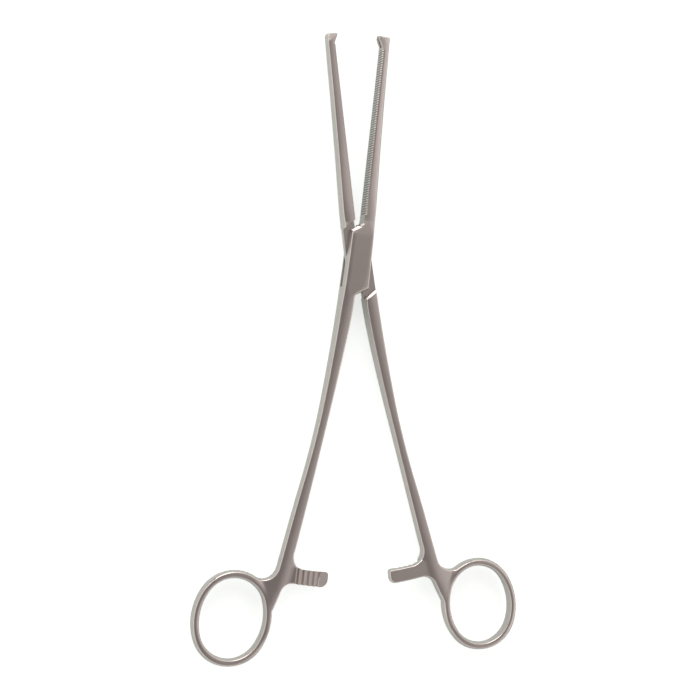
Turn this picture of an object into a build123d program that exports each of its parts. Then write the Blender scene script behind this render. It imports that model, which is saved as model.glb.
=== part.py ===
from build123d import *
from math import atan2, cos, degrees, radians, sin
import os

# Hemostatic forceps with a box lock, toothed tips and a ratchet, lying on its back face.
# Tips point to +Y, finger rings to -Y, and the front face looks up at +Z. The origin is on the
# pivot axis, in the plane that the lock's back face rests on. Millimetres and degrees.

# How far the forceps stand open as they lie, and the lock's thickness, which sets every level
rest_opening = 13.4
lock_thickness = 6.0
mid_level = lock_thickness / 2

# Lock: the female cheeks on both sides of the male waist, which ends in arcs about the pivot
waist_radius = 9.9
lock_half_width = 4.25
lock_side_swell = 0.3
lock_swell_reach = 3.5
lock_flat_setback = 2.5
slot_height = 1.9
slot_side_clearance = 0.05
slot_end_clearance = 0.25
crotch_radius = 0.95
cheek_slope = 29.0
cheek_end_overhang = 0.1
cheek_bevel = 0.9
cheek_bevel_height = 0.8
shoulder_slope = 33.0
shoulder_clearance = 0.6
shoulder_bevel = 0.9
shoulder_bevel_height = 0.8

# Jaw, with its reach measured from the pivot and the other lengths from the waist's end
jaw_reach = 71.1
jaw_tip_width = 2.52
jaw_waist_width = 3.17
jaw_waist_reach = 42.0
jaw_root_width = 4.12
jaw_root_length = 5.3
jaw_slope_length = 3.1
jaw_tip_thickness = 3.5
jaw_root_thickness = 4.5
jaw_tip_round = 0.95

# Rivet pin, peened flush into a countersink in each cheek
pin_radius = 1.3
pin_running_clearance = 0.04
pin_head_radius = 1.75
pin_head_depth = 0.45

# Ratchet arm, a band about the pivot that passes the centreline by its tip reach
ratchet_inner_radius = 98.2
ratchet_width = 4.9
ratchet_tip_reach = 1.66
ratchet_upper_round = 4.2
ratchet_lower_round = 3.7
ratchet_tip_upper_round = 1.0
ratchet_tip_lower_round = 2.4
ratchet_plane_gap = 0.12
ratchet_step_reach = 9.6
ratchet_tooth_count = 5
ratchet_tooth_pitch = 1.72
ratchet_tooth_depth = 0.5
ratchet_steep_share = 0.2
ratchet_first_tooth = 1.05

# Shank: the offset of its centreline from the middle and its width at four stations, of which
# the upper and lower ones lie at these shares of the way from the neck to the grip
shank_root_thickness = 5.1
shank_thickness = 3.7
shank_thin_share = 0.72
shank_root_length = 5.1
neck_length = 11.0
neck_offset = 2.9
neck_width = 4.75
upper_share = 0.363
upper_offset = 5.31
upper_width = 3.58
lower_share = 0.732
lower_offset = 8.97
lower_width = 3.55
grip_above_ratchet = 8.9
grip_offset = 11.9
grip_width = 4.3

# Finger ring: the hole's half axes, the bar round it, its centre and its lean when closed
hole_long_half = 12.3
hole_short_half = 10.2
hole_end_radius = 9.6
ring_bar_width = 2.6
ring_below_ratchet = 11.3
ring_offset = 28.25
ring_lean = 4.5
ring_to_shank_round = 4.6

# Forged form: side draft from the mid level, the round along the creases and the soft steps
# of the front and back faces as seen from the side
draft_angle = 12.0
crease_round = 0.45
thin_shank_blend = 60.0
shank_root_blend = 25.0
lock_foot_blend = 12.0
lock_head_blend = 8.0
jaw_slope_blend = 10.0

# Serrations across the inner face of each jaw, cut so that the two jaws nest when closed
serration_pitch = 0.765
serration_depth = 0.3
serration_gap = 0.12
serration_above_root = -1.0
serration_below_tooth = 0.8

# Tip teeth: one on the male jaw goes between two on the female jaw
tooth_reach = 1.55
tooth_height = 3.6
tooth_land = 0.5
tooth_foot_round = 2.0
single_tooth_width = 1.1
tooth_side_gap = 0.1
tooth_end_gap = 0.2

# Sizes that follow from those above
half_opening = rest_opening / 2
jaw_face = serration_gap / 2
serration_crest = jaw_face - serration_depth / 2
serration_root = serration_crest + serration_depth
slot_radius = waist_radius + slot_end_clearance
lock_flat_reach = waist_radius - lock_flat_setback
jaw_slope_reach = waist_radius + jaw_slope_length
jaw_root_reach = waist_radius + jaw_root_length
cheek_end_at_slot = waist_radius + cheek_end_overhang
cheek_end_at_face = cheek_end_at_slot - cheek_bevel
shoulder_at_waist = cheek_end_at_slot + shoulder_clearance
shoulder_at_face = shoulder_at_waist + shoulder_bevel
waist_thickness = slot_height - 2 * slot_side_clearance
serration_start = jaw_root_reach + serration_above_root
serration_end = jaw_reach - tooth_height - serration_below_tooth
ratchet_outer_radius = ratchet_inner_radius + ratchet_width
shank_root_reach = waist_radius + shank_root_length
neck_reach = waist_radius + neck_length
grip_reach = ratchet_inner_radius - grip_above_ratchet
upper_reach = neck_reach + upper_share * (grip_reach - neck_reach)
lower_reach = neck_reach + lower_share * (grip_reach - neck_reach)
shank_thin_reach = neck_reach + shank_thin_share * (grip_reach - neck_reach)
ring_reach = ratchet_outer_radius + ring_below_ratchet
waist_crotch_radius = slot_end_clearance - slot_side_clearance

# Lengths that reach past whatever they cut
past_all = 2 * lock_thickness
through_all = 3 * lock_thickness
past_side = 2 * lock_half_width
past_end = 2 * waist_radius

# Each half is drawn closed, with its jaw on local +X and its shank on local -X, and then stands
# in a frame turned by half of the opening. The male half is the same forging turned over.
female_frame = Plane(
    origin=(0, 0, 0),
    x_dir=(cos(radians(half_opening)), -sin(radians(half_opening)), 0),
    z_dir=(0, 0, 1),
)
male_frame = Plane(
    origin=(0, 0, lock_thickness),
    x_dir=(-cos(radians(half_opening)), -sin(radians(half_opening)), 0),
    z_dir=(0, 0, -1),
)


def height_on_line(distance, slope, across):
    """Y of the point at X = across on a line that passes the pivot at a distance."""
    return (distance - across * sin(radians(slope))) / cos(radians(slope))


def oval(long_half, short_half, end_radius, turn, mode=Mode.ADD):
    """Oval of four tangent arcs, with its long axis turned from X."""
    rise = long_half - end_radius
    side_radius = (long_half**2 + short_half**2 - 2 * long_half * end_radius) / (
        2 * (short_half - end_radius)
    )
    shift = side_radius - short_half
    join = degrees(atan2(rise, shift))
    with BuildSketch(mode=Mode.PRIVATE) as shape:
        with BuildLine():
            CenterArc((-shift, 0), side_radius, -join, 2 * join)
            CenterArc((0, rise), end_radius, join, 180 - 2 * join)
            CenterArc((shift, 0), side_radius, 180 - join, 2 * join)
            CenterArc((0, -rise), end_radius, 180 + join, 180 - 2 * join)
        make_face()
    add(shape.sketch, rotation=turn, mode=mode)


def draw_leg(cheek_ends):
    """Outline of one half from jaw to ring, with straight or round free ends at the lock."""
    jaw_inner = -tooth_reach
    if cheek_ends:
        upper_end = height_on_line(cheek_end_at_slot, cheek_slope, lock_half_width)
        crotch = height_on_line(cheek_end_at_slot, cheek_slope, -jaw_inner)
    else:
        upper_end = (waist_radius**2 - lock_half_width**2) ** 0.5
        crotch = (waist_radius**2 - jaw_inner**2) ** 0.5
    Line((jaw_inner, crotch), (jaw_inner, jaw_reach))
    Line((jaw_inner, jaw_reach), (jaw_tip_width, jaw_reach))
    jaw_back = ThreePointArc(
        (jaw_tip_width, jaw_reach),
        (jaw_waist_width, jaw_waist_reach),
        (jaw_root_width, jaw_root_reach),
    )
    Line(jaw_back @ 1, (lock_half_width, -upper_end))
    if cheek_ends:
        low = -height_on_line(cheek_end_at_slot, cheek_slope, 0)
        Line((lock_half_width, -upper_end), (0, low))
    else:
        low = -waist_radius
        RadiusArc((lock_half_width, -upper_end), (0, low), waist_radius)
    inner_neck = TangentArc(
        (0, low), (-neck_offset + neck_width / 2, -neck_reach), tangent=(0, -1)
    )
    inner_shank = TangentArc(
        inner_neck @ 1, (-upper_offset + upper_width / 2, -upper_reach), tangent=inner_neck % 1
    )
    inner_grip = TangentArc(
        inner_shank @ 1, (-grip_offset + grip_width / 2, -grip_reach), tangent=inner_shank % 1
    )
    bar_middle = ring_bar_width / 2
    inner_root = (-ring_offset + hole_short_half + bar_middle, -ring_reach)
    TangentArc(inner_grip @ 1, inner_root, tangent=inner_grip % 1)
    outer_neck = ThreePointArc(
        (-lock_half_width, upper_end),
        (-lock_half_width - lock_side_swell, -lock_swell_reach),
        (-neck_offset - neck_width / 2, -neck_reach),
    )
    outer_middle = TangentArc(
        outer_neck @ 1, (-upper_offset - upper_width / 2, -upper_reach), tangent=outer_neck % 1
    )
    outer_shank = TangentArc(
        outer_middle @ 1, (-lower_offset - lower_width / 2, -lower_reach), tangent=outer_middle % 1
    )
    outer_grip = TangentArc(
        outer_shank @ 1, (-grip_offset - grip_width / 2, -grip_reach), tangent=outer_shank % 1
    )
    outer_root = (inner_root[0] - bar_middle / 2, hole_long_half / 2 - ring_reach)
    outer_end = TangentArc(outer_grip @ 1, outer_root, tangent=outer_grip % 1)
    Line(outer_end @ 1, inner_root)
    if cheek_ends:
        Line((-lock_half_width, upper_end), (jaw_inner, crotch))
    else:
        RadiusArc((-lock_half_width, upper_end), (jaw_inner, crotch), waist_radius)


def draw_side():
    """Front level along one half, seen from its side, closed along the mid level."""
    ring_end = -ring_reach - 2 * hole_long_half
    jaw_end = jaw_reach + tooth_height
    Polyline(
        (ring_end, mid_level),
        (ring_end, mid_level + shank_thickness / 2),
        (-shank_thin_reach, mid_level + shank_thickness / 2),
        (-shank_root_reach, mid_level + shank_root_thickness / 2),
        (-lock_flat_reach, lock_thickness),
        (lock_flat_reach, lock_thickness),
        (jaw_slope_reach, mid_level + jaw_root_thickness / 2),
        (jaw_end, mid_level + jaw_tip_thickness / 2),
        (jaw_end, mid_level),
        close=True,
    )


def forged_leg(frame, cheek_ends, crotch_round):
    """One half as it leaves the forge: jaw, lock block, shank, ring and ratchet arm."""
    mid_plane = frame.offset(mid_level)
    side_plane = Plane(frame.origin, x_dir=frame.y_dir, z_dir=frame.x_dir)
    ring_centre = (-ring_offset, -ring_reach)
    tip_turn = degrees(ratchet_tip_reach / ratchet_inner_radius)
    arm_root = grip_offset + grip_width / 2
    arm_turn = degrees((arm_root + ratchet_tip_reach) / ratchet_inner_radius)
    corner_rounds = (
        ((ratchet_tip_reach, -ratchet_inner_radius), ratchet_tip_upper_round),
        ((ratchet_tip_reach, -ratchet_outer_radius), ratchet_tip_lower_round),
        ((-grip_offset, -ratchet_inner_radius), ratchet_upper_round),
        ((-grip_offset, -ratchet_outer_radius), ratchet_lower_round),
        ((-ring_offset + hole_short_half, hole_long_half / 2 - ring_reach), ring_to_shank_round),
        ((jaw_tip_width, jaw_reach), jaw_tip_round),
        ((0, -waist_radius), crotch_round),
    )
    face_blends = (
        (-shank_thin_reach, thin_shank_blend),
        (-shank_root_reach, shank_root_blend),
        (-lock_flat_reach, lock_foot_blend),
        (lock_flat_reach, lock_head_blend),
        (jaw_slope_reach, jaw_slope_blend),
    )
    with BuildPart() as leg:
        with BuildSketch(mid_plane) as planform:
            with BuildLine():
                draw_leg(cheek_ends)
            make_face()
            with Locations(ring_centre):
                oval(
                    hole_long_half + ring_bar_width,
                    hole_short_half + ring_bar_width,
                    hole_end_radius + ring_bar_width,
                    -ring_lean,
                )
            with BuildLine():
                upper = CenterArc((0, 0), ratchet_inner_radius, tip_turn - 90, -arm_turn)
                lower = CenterArc((0, 0), ratchet_outer_radius, tip_turn - 90, -arm_turn)
                Line(upper @ 0, lower @ 0)
                Line(upper @ 1, lower @ 1)
            make_face()
            for corner, radius in corner_rounds:
                fillet(planform.vertices().sort_by_distance(corner)[0], radius)
            with Locations(ring_centre):
                oval(
                    hole_long_half,
                    hole_short_half,
                    hole_end_radius,
                    -ring_lean,
                    mode=Mode.SUBTRACT,
                )
        extrude(amount=mid_level)
        walls = leg.faces().filter_by(lambda face: abs(face.normal_at().Z) < 0.1)
        draft(walls, neutral_plane=mid_plane, angle=draft_angle)
        with BuildSketch(side_plane) as profile:
            with BuildLine():
                draw_side()
            make_face()
            for reach, radius in face_blends:
                near = (reach, lock_thickness)
                fillet(profile.vertices().sort_by_distance(near)[0], radius)
        extrude(amount=2 * ring_reach, both=True, mode=Mode.INTERSECT)
        fronts = leg.faces().filter_by(lambda face: frame.z_dir.dot(face.normal_at()) > 0.9)
        flanks = leg.faces().filter_by(lambda face: abs(face.normal_at().Z) < 0.5)
        flank_edges = flanks.edges()
        fillet(fronts.edges().filter_by(lambda edge: edge in flank_edges), crease_round)
        mirror(about=mid_plane)
    return leg.part


def cut_mouth(frame, crotch_level, crotch_round):
    """Opens the jaw's inner face from the crotch to the tip tooth, which it leaves standing."""
    open_side = -past_all
    with BuildSketch(frame.offset(-lock_thickness)) as mouth:
        with BuildLine():
            Polyline(
                (jaw_face, crotch_level),
                (jaw_face, jaw_reach - tooth_height),
                (-tooth_reach, jaw_reach - tooth_land),
                (open_side, jaw_reach - tooth_land),
                (open_side, crotch_level),
                close=True,
            )
        make_face()
        tooth_foot = (jaw_face, jaw_reach - tooth_height)
        fillet(mouth.vertices().sort_by_distance((jaw_face, crotch_level))[0], crotch_round)
        fillet(mouth.vertices().sort_by_distance(tooth_foot)[0], tooth_foot_round)
    extrude(mouth.sketch, amount=through_all, mode=Mode.SUBTRACT)


def cut_serrations(frame, shift):
    """Cuts the row of cross grooves in the jaw's inner face, moved along it by a shift."""
    count = int((serration_end - serration_start) / serration_pitch)
    first = serration_start + shift
    points = [(-tooth_reach, first)]
    for tooth in range(count):
        base = first + tooth * serration_pitch
        points += [(serration_crest, base), (serration_root, base + serration_pitch / 2)]
    last = first + count * serration_pitch
    points += [(serration_crest, last), (-tooth_reach, last)]
    with BuildSketch(frame.offset(-lock_thickness)) as comb:
        with BuildLine():
            Polyline(*points, close=True)
        make_face()
    extrude(comb.sketch, amount=through_all, mode=Mode.SUBTRACT)


def draw_tip_space():
    """Room in one jaw tip for the other jaw's teeth, with the gap to their ends."""
    depth = tooth_reach + tooth_end_gap
    Polyline(
        (-past_all, jaw_reach - tooth_height - tooth_end_gap),
        (jaw_face, jaw_reach - tooth_height - tooth_end_gap),
        (depth, jaw_reach - tooth_land - tooth_end_gap),
        (depth, jaw_reach + tooth_height),
        (-past_all, jaw_reach + tooth_height),
        close=True,
    )


def cut_ratchet(frame):
    """Thins the ratchet arm to its own layer and cuts the teeth across its face."""
    face_level = mid_level - ratchet_plane_gap / 2
    arm_middle = (ratchet_inner_radius + ratchet_outer_radius) / 2
    with BuildSketch(frame.offset(face_level)) as layer:
        with Locations((-ratchet_step_reach, -arm_middle)):
            Rectangle(
                ratchet_step_reach + ratchet_width,
                2 * ratchet_width,
                align=(Align.MIN, Align.CENTER),
            )
    extrude(layer.sketch, amount=lock_thickness, mode=Mode.SUBTRACT)
    tooth_floor = face_level - ratchet_tooth_depth
    steep_run = ratchet_steep_share * ratchet_tooth_pitch
    points = [(-ratchet_first_tooth, lock_thickness)]
    for tooth in range(ratchet_tooth_count):
        start = -ratchet_first_tooth - tooth * ratchet_tooth_pitch
        points += [(start, face_level), (start - steep_run, tooth_floor)]
    end = -ratchet_first_tooth - ratchet_tooth_count * ratchet_tooth_pitch
    points += [(end, face_level), (end, lock_thickness)]
    arm_plane = Plane(
        frame.from_local_coords(Vector(0, -arm_middle, 0)),
        x_dir=frame.x_dir,
        z_dir=frame.y_dir * -1,
    )
    with BuildSketch(arm_plane) as teeth:
        with BuildLine():
            Polyline(*points, close=True)
        make_face()
    extrude(teeth.sketch, amount=ratchet_width, both=True, mode=Mode.SUBTRACT)


def draw_pin():
    """Half section of the rivet pin, with its two peened heads."""
    Polyline(
        (0, 0),
        (pin_head_radius, 0),
        (pin_radius, pin_head_depth),
        (pin_radius, lock_thickness - pin_head_depth),
        (pin_head_radius, lock_thickness),
        (0, lock_thickness),
        close=True,
    )


slot_mouth_reach = height_on_line(cheek_end_at_slot, cheek_slope, 0) + crotch_radius

# Bevel along the face of a cheek's free end
female_mid = female_frame.offset(mid_level)
with BuildPart() as cheek_end_cutter:
    for level, distance in (
        (lock_thickness, cheek_end_at_face),
        (lock_thickness - cheek_bevel_height, cheek_end_at_slot),
    ):
        near_jaw = height_on_line(distance, cheek_slope, -jaw_face)
        far_side = height_on_line(distance, cheek_slope, past_side)
        with BuildSketch(female_frame.offset(level)):
            Polygon(
                (jaw_face, near_jaw),
                (-past_side, far_side),
                (-past_side, past_end),
                (jaw_face, past_end),
                align=None,
            )
    loft()
    mirror(about=female_mid)

# Female half: the slotted block with two cheeks, two tip teeth and the lower ratchet arm. The
# slot also opens the two crotches at its level, where the male half closes against them.
female_blank = forged_leg(female_frame, True, crotch_radius)
with BuildPart() as female_half:
    add(female_blank)
    cut_mouth(
        female_frame,
        height_on_line(cheek_end_at_slot, cheek_slope, crotch_radius - jaw_face),
        crotch_radius,
    )
    add(cheek_end_cutter.part, mode=Mode.SUBTRACT)
    add(cheek_end_cutter.part, rotation=(0, 0, 180), mode=Mode.SUBTRACT)
    with BuildSketch(female_mid):
        Circle(slot_radius)
        Rectangle(lock_half_width, slot_mouth_reach, align=(Align.MAX, Align.MIN))
        Rectangle(lock_half_width, slot_mouth_reach, align=(Align.MIN, Align.MAX))
    extrude(amount=slot_height / 2, both=True, mode=Mode.SUBTRACT)
    with BuildSketch(Plane.XZ):
        with BuildLine():
            draw_pin()
        make_face()
    revolve(axis=Axis.Z, mode=Mode.SUBTRACT)
    cut_serrations(female_frame, 0)
    with BuildSketch(female_mid):
        with BuildLine():
            draw_tip_space()
        make_face()
    extrude(amount=single_tooth_width / 2 + tooth_side_gap, both=True, mode=Mode.SUBTRACT)
    cut_ratchet(female_frame)
female_half.part.label = "female_half"

# Pocket on one face of the male waist, between its two bevelled shoulders
male_mid = male_frame.offset(mid_level)
with BuildPart() as waist_pocket:
    for level, distance in (
        (mid_level + waist_thickness / 2, shoulder_at_waist),
        (lock_thickness - shoulder_bevel_height, shoulder_at_waist),
        (lock_thickness, shoulder_at_face),
    ):
        low = height_on_line(distance, shoulder_slope, past_side)
        high = height_on_line(distance, shoulder_slope, -past_side)
        with BuildSketch(male_frame.offset(level)):
            Polygon(
                (past_side, low),
                (-past_side, high),
                (-past_side, -low),
                (past_side, -high),
                align=None,
            )
    loft(ruled=True)
    mirror(about=male_mid)

# Male half: the thin waist that passes through the slot, one tip tooth, the upper ratchet arm
male_blank = forged_leg(male_frame, False, waist_crotch_radius)
with BuildPart() as male_half:
    add(male_blank)
    cut_mouth(male_frame, waist_radius, waist_crotch_radius)
    add(waist_pocket.part, mode=Mode.SUBTRACT)
    with BuildSketch(male_mid):
        Circle(pin_radius + pin_running_clearance)
    extrude(amount=lock_thickness, both=True, mode=Mode.SUBTRACT)
    cut_serrations(male_frame, serration_pitch / 2)
    for side in (1, -1):
        with BuildSketch(male_mid.offset(side * single_tooth_width / 2)):
            with BuildLine():
                draw_tip_space()
            make_face()
        extrude(amount=side * lock_thickness, mode=Mode.SUBTRACT)
    cut_ratchet(male_frame)
male_half.part.label = "male_half"

# Rivet pin of the lock, fast in the cheeks and free in the waist
with BuildPart() as box_lock_pin:
    with BuildSketch(Plane.XZ):
        with BuildLine():
            draw_pin()
        make_face()
    revolve(axis=Axis.Z)
box_lock_pin.part.label = "box_lock_pin"

os.makedirs("parts", exist_ok=True)
export_step(female_half.part, "parts/female_half.step")
export_step(male_half.part, "parts/male_half.step")
export_step(box_lock_pin.part, "parts/box_lock_pin.step")
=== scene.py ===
from math import cos, radians, sin

import bpy
from mathutils import Matrix, Vector

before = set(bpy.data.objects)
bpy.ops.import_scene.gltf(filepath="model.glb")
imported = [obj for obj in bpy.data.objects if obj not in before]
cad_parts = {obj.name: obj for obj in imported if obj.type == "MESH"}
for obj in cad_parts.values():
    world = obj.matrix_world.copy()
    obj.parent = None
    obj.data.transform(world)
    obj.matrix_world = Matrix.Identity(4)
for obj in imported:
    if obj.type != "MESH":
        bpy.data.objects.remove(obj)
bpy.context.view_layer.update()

# Camera. It looks down on the forceps from a little to their left and from about half a metre,
# as the photograph was taken. The target is the point in the middle of the picture.
tilt = radians(19.9)
lean = radians(0.53)
roll = radians(-0.07)
camera_distance = 0.538
nearest_seen = 0.01
pixels_per_metre = 3187.9
picture_side = 700
sensor_side = 36.0
target = Vector((-0.00258, -0.0283, 0.003))
back = Vector((-sin(tilt) * cos(lean), sin(lean), cos(tilt) * cos(lean)))
level_right = Vector((0, 1, 0)).cross(back).normalized()
level_up = back.cross(level_right)
right = cos(roll) * level_right + sin(roll) * level_up
up = cos(roll) * level_up - sin(roll) * level_right
bpy.ops.object.select_all(action="DESELECT")
bpy.ops.object.camera_add()
camera = bpy.context.object
camera.name = "photo_camera"
camera.matrix_world = Matrix.Translation(target + back * camera_distance) @ Matrix(
    (right, up, back)
).transposed().to_4x4()
camera.data.sensor_width = sensor_side
camera.data.lens = pixels_per_metre * camera_distance * sensor_side / picture_side
camera.data.clip_start = nearest_seen
bpy.context.scene.camera = camera
bpy.context.scene.view_settings.view_transform = "Standard"


# Studio light. One even sky stands for a tent of white card with a hole for the camera. It is
# dim overhead, brighter towards the horizon and brightest at both sides and beyond the tips.
def math_step(tree, operation, first, second=None, third=None):
    """One sum in a node tree, from sockets or plain values."""
    step = tree.nodes.new("ShaderNodeMath")
    step.operation = operation
    for place, source in enumerate((first, second, third)):
        if isinstance(source, bpy.types.NodeSocket):
            tree.links.new(source, step.inputs[place])
        elif source is not None:
            step.inputs[place].default_value = source
    return step.outputs["Value"]


def range_step(tree, value, start, end, low=0.0, high=1.0, shape="LINEAR"):
    """A value that goes from low to high while another goes from start to end."""
    step = tree.nodes.new("ShaderNodeMapRange")
    step.interpolation_type = shape
    tree.links.new(value, step.inputs["Value"])
    step.inputs["From Min"].default_value = start
    step.inputs["From Max"].default_value = end
    step.inputs["To Min"].default_value = low
    step.inputs["To Max"].default_value = high
    return step.outputs["Result"]


overhead_level, horizon_rise, horizon_bend = 0.22, 1.1, 2.0
right_start, right_end, right_rise = 0.0, 1.0, 0.4
left_start, left_end, left_rise = -0.6, -1.0, 0.5
beyond_start, beyond_end, beyond_rise = 0.4, 1.0, 0.8
world = bpy.data.worlds.new("light_tent")
bpy.context.scene.world = world
world.use_nodes = True
tent = world.node_tree
tent.nodes.clear()
sky_direction = tent.nodes.new("ShaderNodeTexCoord")
sky_axes = tent.nodes.new("ShaderNodeSeparateXYZ")
tent.links.new(sky_direction.outputs["Generated"], sky_axes.inputs["Vector"])
from_zenith = math_step(tent, "SUBTRACT", 1.0, sky_axes.outputs["Z"])
from_zenith.node.use_clamp = True
towards_horizon = math_step(tent, "POWER", from_zenith, horizon_bend)
sky_height = math_step(tent, "MULTIPLY_ADD", towards_horizon, horizon_rise, overhead_level)
sky_right = range_step(tent, sky_axes.outputs["X"], right_start, right_end, high=right_rise)
sky_left = range_step(tent, sky_axes.outputs["X"], left_start, left_end, high=left_rise)
sky_beyond = range_step(tent, sky_axes.outputs["Y"], beyond_start, beyond_end, high=beyond_rise)
all_sides = math_step(tent, "ADD", math_step(tent, "ADD", sky_right, sky_left), sky_beyond)
sky_level = math_step(tent, "ADD", sky_height, all_sides)
sky_path = tent.nodes.new("ShaderNodeLightPath")
soft_light = tent.nodes.new("ShaderNodeBackground")
soft_light.inputs["Color"].default_value = (1.0, 0.93, 0.91, 1.0)
white_sky = tent.nodes.new("ShaderNodeBackground")
white_sky.inputs["Color"].default_value = (1.0, 1.0, 1.0, 1.0)
seen_or_lit = tent.nodes.new("ShaderNodeMixShader")
sky = tent.nodes.new("ShaderNodeOutputWorld")
tent.links.new(sky_level, soft_light.inputs["Strength"])
tent.links.new(sky_path.outputs["Is Camera Ray"], seen_or_lit.inputs["Fac"])
tent.links.new(soft_light.outputs["Background"], seen_or_lit.inputs[1])
tent.links.new(white_sky.outputs["Background"], seen_or_lit.inputs[2])
tent.links.new(seen_or_lit.outputs["Shader"], sky.inputs["Surface"])

# Lamp. A wide soft box stands beyond the tips and above the table, and is turned to the forceps.
# It whitens the bevels that face it.
lamp_place, lamp_side, lamp_power = (-0.12, 0.75, 0.33), 0.6, 2.4
bpy.ops.object.light_add(type="AREA", location=lamp_place)
tip_light = bpy.context.object
tip_light.name = "tip_light"
tip_light.data.shape = "SQUARE"
tip_light.data.size = lamp_side
tip_light.data.energy = lamp_power
tip_light.matrix_world = (
    Matrix.Translation(tip_light.location)
    @ (tip_light.location - target).to_track_quat("Z", "Y").to_matrix().to_4x4()
)

# Table. A sheet of white card under the forceps, which keeps their soft shadow. It is lifted to
# plain white where the camera sees it, and a little less where the steel reflects it.
table_side, table_gap = 4.0, 0.00002
seen_share, steel_share = 0.62, 0.27
bpy.ops.object.select_all(action="DESELECT")
bpy.ops.mesh.primitive_plane_add(size=table_side, location=(0, 0, -table_gap))
table = bpy.context.object
table.name = "white_table"
card = bpy.data.materials.new("white_card")
card.use_nodes = True
card_tree = card.node_tree
card_tree.nodes.clear()
card_surface = card_tree.nodes.new("ShaderNodeBsdfDiffuse")
card_surface.inputs["Color"].default_value = (0.8, 0.89, 0.86, 1.0)
card_path = card_tree.nodes.new("ShaderNodeLightPath")
seen_level = math_step(card_tree, "MULTIPLY", card_path.outputs["Is Camera Ray"], seen_share)
seen_lift = card_tree.nodes.new("ShaderNodeEmission")
steel_level = math_step(card_tree, "MULTIPLY", card_path.outputs["Is Glossy Ray"], steel_share)
steel_lift = card_tree.nodes.new("ShaderNodeEmission")
steel_lift.inputs["Color"].default_value = (0.86, 1.0, 0.97, 1.0)
both_lifts = card_tree.nodes.new("ShaderNodeAddShader")
card_sum = card_tree.nodes.new("ShaderNodeAddShader")
card_output = card_tree.nodes.new("ShaderNodeOutputMaterial")
card_tree.links.new(seen_level, seen_lift.inputs["Strength"])
card_tree.links.new(steel_level, steel_lift.inputs["Strength"])
card_tree.links.new(seen_lift.outputs["Emission"], both_lifts.inputs[0])
card_tree.links.new(steel_lift.outputs["Emission"], both_lifts.inputs[1])
card_tree.links.new(card_surface.outputs["BSDF"], card_sum.inputs[0])
card_tree.links.new(both_lifts.outputs["Shader"], card_sum.inputs[1])
card_tree.links.new(card_sum.outputs["Shader"], card_output.inputs["Surface"])
table.data.materials.append(card)

# Satin finish, with painted shade in the grooves, used on all of the steel. The forgings are
# glass-beaded and then brushed along their length, which leaves fine streaks and a faintly uneven
# tone. Painted shade darkens the colour towards the bottom of each groove cut across the jaws.
streak_scale, streak_detail = (9000.0, 500.0, 9000.0), 3.0
cloud_scale, cloud_detail = 120.0, 2.0
groove_start, groove_end, groove_pitch = 0.0142, 0.0667, 0.000765
# Painted groove shade: darkest width, crest start, colour factor at the bottom, and its fade into
# the jaw
bottom_width, crest_start, painted_bottom_shade = 0.05, 0.4, 0.36
tone_fade_start, tone_fade_end = 0.00012, 0.0004
finish = bpy.data.node_groups.new("satin_finish_and_groove_shade", "ShaderNodeTree")
for label, value in (
    ("Turn", 0.0),
    ("Tone Variation", 0.12),
    ("Roughness", 0.3),
    ("Roughness Variation", 0.06),
    ("Side", 1.0),
    ("Groove Start", 0.0),
):
    socket = finish.interface.new_socket(label, in_out="INPUT", socket_type="NodeSocketFloat")
    socket.default_value = value
socket = finish.interface.new_socket("Steel", in_out="INPUT", socket_type="NodeSocketColor")
socket.default_value = (0.63, 0.575, 0.55, 1.0)
finish.interface.new_socket("Colour", in_out="OUTPUT", socket_type="NodeSocketColor")
finish.interface.new_socket("Roughness", in_out="OUTPUT", socket_type="NodeSocketFloat")
finish.interface.new_socket("Grain", in_out="OUTPUT", socket_type="NodeSocketFloat")
given = finish.nodes.new("NodeGroupInput")
result = finish.nodes.new("NodeGroupOutput")
position = finish.nodes.new("ShaderNodeTexCoord")
along = finish.nodes.new("ShaderNodeVectorRotate")
along.rotation_type = "Z_AXIS"
stretch = finish.nodes.new("ShaderNodeMapping")
stretch.inputs["Scale"].default_value = streak_scale
streaks = finish.nodes.new("ShaderNodeTexNoise")
streaks.inputs["Scale"].default_value = 1.0
streaks.inputs["Detail"].default_value = streak_detail
clouds = finish.nodes.new("ShaderNodeTexNoise")
clouds.inputs["Scale"].default_value = cloud_scale
clouds.inputs["Detail"].default_value = cloud_detail
finish_axes = finish.nodes.new("ShaderNodeSeparateXYZ")
finish.links.new(position.outputs["Object"], along.inputs["Vector"])
finish.links.new(given.outputs["Turn"], along.inputs["Angle"])
finish.links.new(along.outputs["Vector"], stretch.inputs["Vector"])
finish.links.new(stretch.outputs["Vector"], streaks.inputs["Vector"])
finish.links.new(position.outputs["Object"], clouds.inputs["Vector"])
finish.links.new(along.outputs["Vector"], finish_axes.inputs["Vector"])
both = math_step(
    finish,
    "ADD",
    math_step(finish, "SUBTRACT", streaks.outputs["Fac"], 0.5),
    math_step(finish, "SUBTRACT", clouds.outputs["Fac"], 0.5),
)
random_tone = math_step(finish, "MULTIPLY_ADD", both, given.outputs["Tone Variation"], 1.0)
rough = math_step(
    finish, "MULTIPLY_ADD", both, given.outputs["Roughness Variation"], given.outputs["Roughness"]
)
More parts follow.
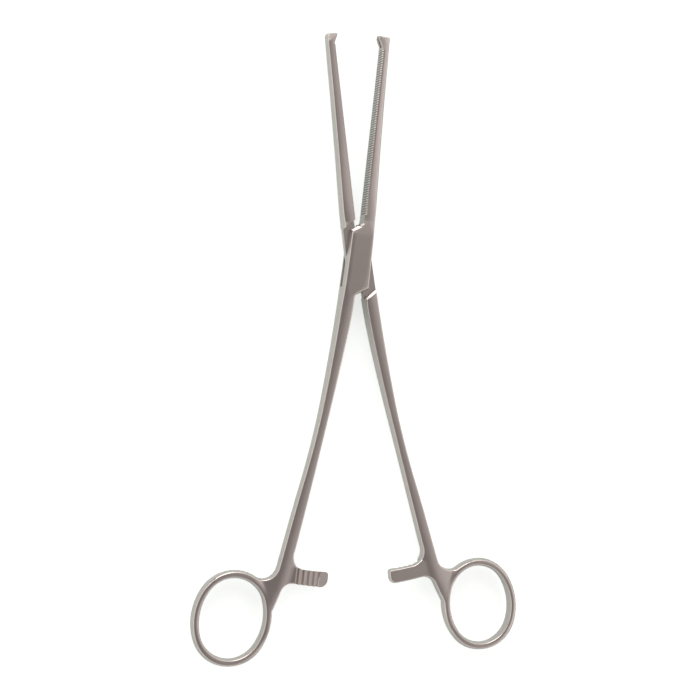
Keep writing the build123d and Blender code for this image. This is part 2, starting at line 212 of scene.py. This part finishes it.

# Painted shade: the colour darkens towards the bottom of each groove, and only along the row of
# grooves
along_row = finish_axes.outputs["Y"]
from_start = math_step(finish, "SUBTRACT", along_row, given.outputs["Groove Start"])
groove_number = math_step(finish, "MULTIPLY", from_start, 1 / groove_pitch)
groove_part = math_step(finish, "FRACT", groove_number)
from_bottom = math_step(finish, "ABSOLUTE", math_step(finish, "SUBTRACT", groove_part, 0.5))
painted_groove_shade = range_step(
    finish, from_bottom, bottom_width, crest_start, low=painted_bottom_shade, shape="SMOOTHSTEP"
)
into_jaw = math_step(finish, "MULTIPLY", finish_axes.outputs["X"], given.outputs["Side"])
past_grooves = range_step(finish, into_jaw, tone_fade_start, tone_fade_end)
beside_row = math_step(
    finish,
    "ADD",
    math_step(finish, "LESS_THAN", along_row, groove_start),
    math_step(finish, "GREATER_THAN", along_row, groove_end),
)
painted_row_shade = math_step(finish, "MAXIMUM", painted_groove_shade, past_grooves)
painted_row_shade = math_step(finish, "MAXIMUM", beside_row, painted_row_shade)
colour = finish.nodes.new("ShaderNodeVectorMath")
colour.operation = "SCALE"
finish.links.new(given.outputs["Steel"], colour.inputs[0])
# The steel colour is scaled by the painted groove shade and the random tone
finish.links.new(math_step(finish, "MULTIPLY", painted_row_shade, random_tone), colour.inputs["Scale"])
finish.links.new(colour.outputs["Vector"], result.inputs["Colour"])
finish.links.new(rough, result.inputs["Roughness"])
finish.links.new(streaks.outputs["Fac"], result.inputs["Grain"])

# Crowned fronts, on both halves. A belt grinder leaves the front of a jaw or a shank slightly
# crowned along its middle line, and rounds the bar of a ring much more. Values are in metres.
crown = bpy.data.node_groups.new("crowned_front", "ShaderNodeTree")
for label, value in (
    ("Turn", 0.0),
    ("Side", 1.0),
    ("Edge Slope", 0.25),
    ("Ring Slope", 0.8),
    ("Jaw Twist", 0.0),
    ("Lock Flat", 0.0),
    ("Arm Tilt", 0.0),
    ("Tip Slope", 0.0),
    ("Groove Bevel", 0.0),
    ("Cheek End Tilt", 0.0),
):
    socket = crown.interface.new_socket(label, in_out="INPUT", socket_type="NodeSocketFloat")
    socket.default_value = value
crown.interface.new_socket("Height", in_out="OUTPUT", socket_type="NodeSocketFloat")
crown_given = crown.nodes.new("NodeGroupInput")
crown_result = crown.nodes.new("NodeGroupOutput")
crown_position = crown.nodes.new("ShaderNodeTexCoord")
crown_along = crown.nodes.new("ShaderNodeVectorRotate")
crown_along.rotation_type = "Z_AXIS"
leg_axes = crown.nodes.new("ShaderNodeSeparateXYZ")
crown.links.new(crown_position.outputs["Object"], crown_along.inputs["Vector"])
crown.links.new(crown_given.outputs["Turn"], crown_along.inputs["Angle"])
crown.links.new(crown_along.outputs["Vector"], leg_axes.inputs["Vector"])
leg_place = leg_axes.outputs["Y"]


def crown_math(operation, first, second=None, third=None):
    """One sum in the crown group."""
    return math_step(crown, operation, first, second, third)


across = crown_math("MULTIPLY", leg_axes.outputs["X"], crown_given.outputs["Side"])

# The middle line of one half, as places along it and offsets to its side
line_start, line_end = -0.130, 0.075
offset_low, offset_high = -0.020, 0.010
middle_line = (
    (-0.1300, 0.0100),
    (-0.1144, -0.0168),
    (-0.1020, -0.0140),
    (-0.0893, -0.0119),
    (-0.0710, -0.0090),
    (-0.0457, -0.0053),
    (-0.0209, -0.0029),
    (-0.0130, -0.0022),
    (-0.0060, -0.0002),
    (0.0060, 0.0002),
    (0.0152, 0.0021),
    (0.0420, 0.0016),
    (0.0711, 0.0013),
)
line_curve = crown.nodes.new("ShaderNodeFloatCurve")
curve = line_curve.mapping.curves[0]
while len(curve.points) < len(middle_line):
    curve.points.new(0.5, 0.5)
for point, (place, offset) in zip(curve.points, middle_line):
    point.location = (
        (place - line_start) / (line_end - line_start),
        (offset - offset_low) / (offset_high - offset_low),
    )
line_curve.mapping.update()
line_place = range_step(crown, leg_place, line_start, line_end)
crown.links.new(line_place, line_curve.inputs["Value"])
line_offset = crown_math(
    "MULTIPLY_ADD", line_curve.outputs["Value"], offset_high - offset_low, offset_low
)
signed_off_line = crown_math("SUBTRACT", across, line_offset)

# The crown falls away from that line, but not on the flat of the lock nor out along the arm
lock_fade_start, lock_fade_end = 0.0125, 0.0075
arm_y, arm_fade_start, arm_fade_end = -0.10065, 0.006, 0.003
leg_half, arm_beyond, reach_softness, leg_softness = 0.0022, 0.006, 0.001, 0.0015
from_lock = crown_math("ABSOLUTE", leg_place)
lock_share = range_step(crown, from_lock, lock_fade_start, lock_fade_end, shape="SMOOTHSTEP")
flat_half = crown_math("MULTIPLY", lock_share, crown_given.outputs["Lock Flat"])
from_arm = crown_math("ABSOLUTE", crown_math("SUBTRACT", leg_place, arm_y))
arm_share = range_step(crown, from_arm, arm_fade_start, arm_fade_end, shape="SMOOTHSTEP")
crown_reach = crown_math("MULTIPLY_ADD", arm_share, -arm_beyond, leg_half + arm_beyond)
off_line = crown_math("SMOOTH_MIN", signed_off_line, crown_reach, reach_softness)
off_line = crown_math("ABSOLUTE", off_line)
from_line = crown_math("MAXIMUM", crown_math("SUBTRACT", off_line, flat_half), 0.0)
leg_fall = crown_math("SQRT", crown_math("MULTIPLY_ADD", from_line, from_line, leg_softness**2))
leg_rise = crown_math("SUBTRACT", leg_softness, leg_fall)
leg_height = crown_math("MULTIPLY", leg_rise, crown_given.outputs["Edge Slope"])

# The bar of the ring is rounded about its own oval, and runs into the web beside the leg
web_start, web_end, web_rise = -0.115, -0.106, 0.0006
ring_x, ring_y, ring_lean = -0.02825, -0.1144, radians(4.5)
bar_long, bar_short, bar_softness, web_blend = 0.0136, 0.0115, 0.0012, 0.0008
web_height = range_step(crown, leg_place, web_start, web_end, high=web_rise, shape="SMOOTHSTEP")
leg_height = crown_math("ADD", leg_height, web_height)
side_on = crown_math("SUBTRACT", across, ring_x)
end_on = crown_math("SUBTRACT", leg_place, ring_y)
short_share = crown_math(
    "MULTIPLY_ADD",
    side_on,
    cos(ring_lean) / bar_short,
    crown_math("MULTIPLY", end_on, -sin(ring_lean) / bar_short),
)
long_share = crown_math(
    "MULTIPLY_ADD",
    side_on,
    sin(ring_lean) / bar_long,
    crown_math("MULTIPLY", end_on, cos(ring_lean) / bar_long),
)
long_square = crown_math("MULTIPLY", long_share, long_share)
oval_share = crown_math(
    "SQRT", crown_math("MULTIPLY_ADD", short_share, short_share, long_square)
)
from_bar = crown_math(
    "MULTIPLY", crown_math("SUBTRACT", oval_share, 1.0), (bar_long + bar_short) / 2
)
bar_fall = crown_math("SQRT", crown_math("MULTIPLY_ADD", from_bar, from_bar, bar_softness**2))
bar_rise = crown_math("SUBTRACT", bar_softness, bar_fall)
bar_height = crown_math("MULTIPLY", bar_rise, crown_given.outputs["Ring Slope"])
crowned = crown_math("SMOOTH_MAX", leg_height, bar_height, web_blend)

# The ratchet arm rises over its teeth and falls beyond them, and the jaw is twisted a little
tooth_near, tooth_far, fall_share = 0.003, 0.0125, -2.0
jaw_fade_start, jaw_fade_end = 0.008, 0.025
along_arm = crown_math("MAXIMUM", crown_math("SUBTRACT", signed_off_line, tooth_near), 0.0)
past_teeth = crown_math("MAXIMUM", crown_math("SUBTRACT", signed_off_line, tooth_far), 0.0)
arm_rise = crown_math("MULTIPLY_ADD", past_teeth, fall_share, along_arm)
arm_rise = crown_math("MULTIPLY", arm_rise, arm_share)
crowned = crown_math("MULTIPLY_ADD", arm_rise, crown_given.outputs["Arm Tilt"], crowned)
jaw_share = range_step(crown, leg_place, jaw_fade_start, jaw_fade_end, shape="SMOOTHSTEP")
jaw_fall = crown_math("MULTIPLY", jaw_share, crown_given.outputs["Jaw Twist"])
jaw_drop = crown_math("MULTIPLY", jaw_fall, across)
twisted = crown_math("SUBTRACT", crowned, jaw_drop)

# The tip slopes off past a slanting line
tip_start, tip_slant = 0.0697, 0.6
past_tip_start = crown_math(
    "MULTIPLY_ADD", across, tip_slant, crown_math("SUBTRACT", leg_place, tip_start)
)
past_tip_start = crown_math("MAXIMUM", past_tip_start, 0.0)
tip_drop = crown_math("MULTIPLY", past_tip_start, crown_given.outputs["Tip Slope"])
tipped = crown_math("SUBTRACT", twisted, tip_drop)

# The jaw's inner edge is bevelled, and the grooves end in the bevel
groove_depth, jaw_edge, edge_bevel = 0.0003, 0.00006, 0.0009
from_edge = crown_math("SUBTRACT", across, jaw_edge)
bevel_left = crown_math("MAXIMUM", crown_math("SUBTRACT", edge_bevel, from_edge), 0.0)
bevel_left = crown_math("MINIMUM", bevel_left, edge_bevel)
groove_place = crown_math(
    "MULTIPLY", crown_math("SUBTRACT", leg_place, groove_start), 1 / groove_pitch
)
groove_phase = crown_math(
    "ABSOLUTE", crown_math("SUBTRACT", crown_math("FRACT", groove_place), 0.5)
)
groove_dip = crown_math("MULTIPLY_ADD", groove_phase, 2 * groove_depth, -groove_depth)
edge_dip = crown_math(
    "MULTIPLY", crown_math("MULTIPLY_ADD", groove_dip, 1 / edge_bevel, -1.0), bevel_left
)
edge_dip = crown_math("MULTIPLY", edge_dip, crown_given.outputs["Groove Bevel"])
in_row = crown_math(
    "MULTIPLY",
    crown_math("GREATER_THAN", leg_place, groove_start),
    crown_math("LESS_THAN", leg_place, groove_end),
)
grooved = crown_math("MULTIPLY_ADD", edge_dip, in_row, tipped)

# The upper ends of the cheeks lean back
end_slope, end_facing, end_middle, end_half = radians(29.0), 0.8, 0.0098, 0.0037
crown_facing = crown.nodes.new("ShaderNodeNewGeometry")
facing_along = crown.nodes.new("ShaderNodeVectorRotate")
facing_along.rotation_type = "Z_AXIS"
crown.links.new(crown_facing.outputs["Normal"], facing_along.inputs["Vector"])
crown.links.new(crown_given.outputs["Turn"], facing_along.inputs["Angle"])
facing_end = crown.nodes.new("ShaderNodeVectorMath")
facing_end.operation = "DOT_PRODUCT"
facing_end.inputs[1].default_value = (-sin(end_slope), cos(end_slope), 0.0)
crown.links.new(facing_along.outputs["Vector"], facing_end.inputs[0])
on_end = crown_math(
    "MULTIPLY",
    crown_math("GREATER_THAN", facing_end.outputs["Value"], end_facing),
    crown_math("COMPARE", leg_place, end_middle, end_half),
)
end_tilt = crown_math("MULTIPLY", on_end, crown_given.outputs["Cheek End Tilt"])
end_drop = crown_math("MULTIPLY", end_tilt, leg_axes.outputs["Z"])
crown.links.new(crown_math("SUBTRACT", grooved, end_drop), crown_result.inputs["Height"])


# Female half. One stainless forging with the right jaw, the slotted lock block, the left shank
# and ring, and the lower ratchet arm. It is ground, cut and brushed to a satin finish.
def satin_steel(node, name, turn, side, first_groove, shape):
    """Puts satin steel with painted groove shade and a crowned front on a node, turned along the
    piece.
    """
    steel = bpy.data.materials.new(name)
    steel.use_nodes = True
    nodes = steel.node_tree.nodes
    links = steel.node_tree.links
    shader = nodes["Principled BSDF"]
    shader.inputs["Metallic"].default_value = 1.0
    brushed = nodes.new("ShaderNodeGroup")
    brushed.node_tree = finish
    brushed.inputs["Turn"].default_value = turn
    brushed.inputs["Side"].default_value = side
    brushed.inputs["Groove Start"].default_value = first_groove
    crowned_front = nodes.new("ShaderNodeGroup")
    crowned_front.node_tree = crown
    crowned_front.inputs["Turn"].default_value = turn
    crowned_front.inputs["Side"].default_value = side
    for label, value in shape.items():
        crowned_front.inputs[label].default_value = value
    ground = nodes.new("ShaderNodeBump")
    ground.inputs["Distance"].default_value = 1.0
    grain = nodes.new("ShaderNodeBump")
    grain.inputs["Strength"].default_value = grain_strength
    grain.inputs["Distance"].default_value = grain_depth
    # The finish's colour carries the painted shade at the bottoms of the jaw grooves
    links.new(brushed.outputs["Colour"], shader.inputs["Base Color"])
    links.new(brushed.outputs["Roughness"], shader.inputs["Roughness"])
    links.new(crowned_front.outputs["Height"], ground.inputs["Height"])
    links.new(brushed.outputs["Grain"], grain.inputs["Height"])
    links.new(ground.outputs["Normal"], grain.inputs["Normal"])
    links.new(grain.outputs["Normal"], shader.inputs["Normal"])
    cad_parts[node].data.materials.clear()
    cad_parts[node].data.materials.append(steel)


grain_strength, grain_depth = 0.35, 0.00002
half_opening = radians(6.7)
cheek_flat = 0.0023
female_shape = {
    "Jaw Twist": 0.31,
    "Lock Flat": cheek_flat,
    "Arm Tilt": 0.15,
    "Tip Slope": 0.1,
    "Groove Bevel": 0.5,
    "Cheek End Tilt": 0.75,
}
satin_steel("female_half", "female_steel", half_opening, 1.0, groove_start, female_shape)

# Male half. The matching forging with the left jaw, the thin waist through the lock, the right
# shank and ring, and the upper ratchet arm, in the same finish. Its grooves nest in the others.
male_grooves = groove_start + groove_pitch / 2
male_shape = {"Ring Slope": 1.0, "Jaw Twist": -0.07, "Lock Flat": 0.008, "Tip Slope": 0.25}
satin_steel("male_half", "male_steel", -half_opening, -1.0, male_grooves, male_shape)

# Rivet pin. A short stainless rod through the lock, peened into a countersink in each cheek and
# ground flush with it, so that its ends have the cheeks' own finish.
pin_shape = {"Lock Flat": cheek_flat}
satin_steel("box_lock_pin", "pin_steel", half_opening, 1.0, groove_start, pin_shape)
